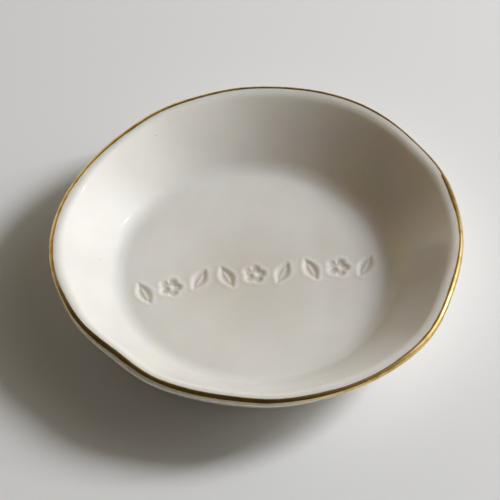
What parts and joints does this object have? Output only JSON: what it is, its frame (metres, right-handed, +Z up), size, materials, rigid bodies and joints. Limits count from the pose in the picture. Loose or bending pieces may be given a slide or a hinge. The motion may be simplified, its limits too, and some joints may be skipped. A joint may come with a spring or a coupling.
{
  "type": "ring dish",
  "caption": "Small hand-formed porcelain dish with a flat floor, a flared wavy rim and a fired gold line along its lip, for rings and trinkets.",
  "frame": {"origin": "centre of the flat foot, on the surface that the dish stands on", "axes": "+Z up out of the dish, -Y towards the viewer of the picture, +X to the viewer's right"},
  "size_m": [0.08, 0.0808, 0.0144],
  "materials": {
    "glazed_porcelain": "gloss",
    "gold_lustre": "polished"
  },
  "bodies": {
    "root": {"porcelain_dish": "glazed_porcelain", "gold_rim": "gold_lustre"}
  },
  "joints": []
}
